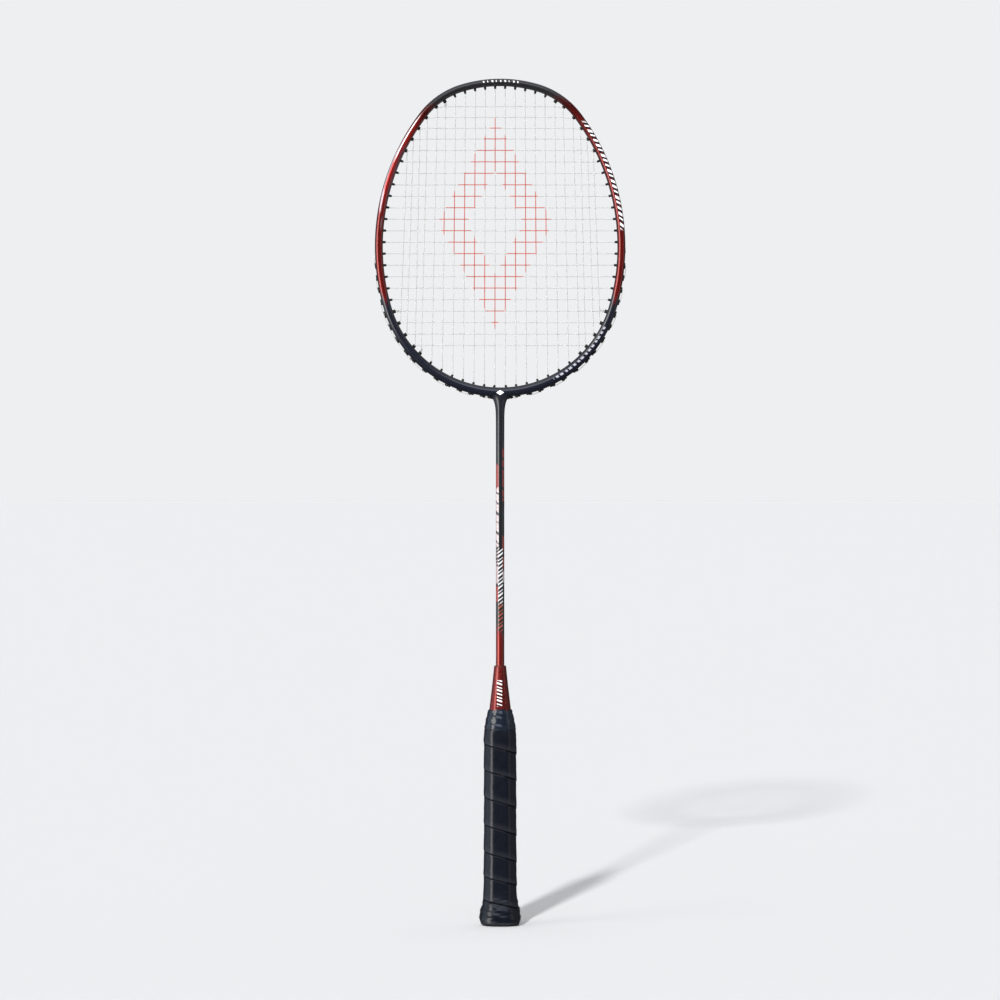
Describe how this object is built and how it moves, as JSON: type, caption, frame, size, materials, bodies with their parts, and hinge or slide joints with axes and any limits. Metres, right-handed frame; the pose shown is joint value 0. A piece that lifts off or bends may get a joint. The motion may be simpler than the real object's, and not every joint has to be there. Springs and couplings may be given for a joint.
{
  "type": "badminton racket",
  "caption": "Badminton racket: an oval strung head on a slim round shaft, with a tapered cone and a wrapped octagonal handle that flares at the butt.",
  "frame": {"origin": "middle of the butt's flat end, the lowest face of the handle", "axes": "+Z along the shaft from the butt to the head; the head lies in the XZ plane; the strings' normal is Y, and the front faces -Y"},
  "size_m": [0.2018, 0.031, 0.675],
  "materials": {
    "frame_lacquer": "gloss lacquer over carbon fibre, black with metallic red sides",
    "joint_metal": "plain",
    "shaft_lacquer": "gloss lacquer over carbon fibre, charcoal fading to red at the foot",
    "cone_lacquer": "gloss metallic red",
    "core_wood": "plain",
    "cap_plastic": "satin",
    "badge": "gloss",
    "staple_steel": "plain",
    "grip": "satin synthetic leather",
    "finishing_tape": "satin",
    "grommet": "satin",
    "string": "satin, with a red stencil"
  },
  "bodies": {
    "root": {"head_frame": "frame_lacquer", "t_joint_insert": "joint_metal", "throat_joint": "frame_lacquer", "shaft": "shaft_lacquer", "cone": "cone_lacquer", "handle_core_front": "core_wood", "handle_core_back": "core_wood", "butt_cap": "cap_plastic", "butt_badge": "badge", "butt_staples": "staple_steel", "grip_wrap": "grip", "grip_finishing_tape": "finishing_tape", "top_main_grommets": "grommet", "top_corner_grommets": "grommet", "side_cross_grommets": "grommet", "low_corner_grommets": "grommet", "throat_main_grommets": "grommet", "tie_off_grommets": "grommet", "main_string": "string", "cross_string": "string", "main_string_knots": "string", "cross_string_knots": "string"}
  },
  "joints": []
}
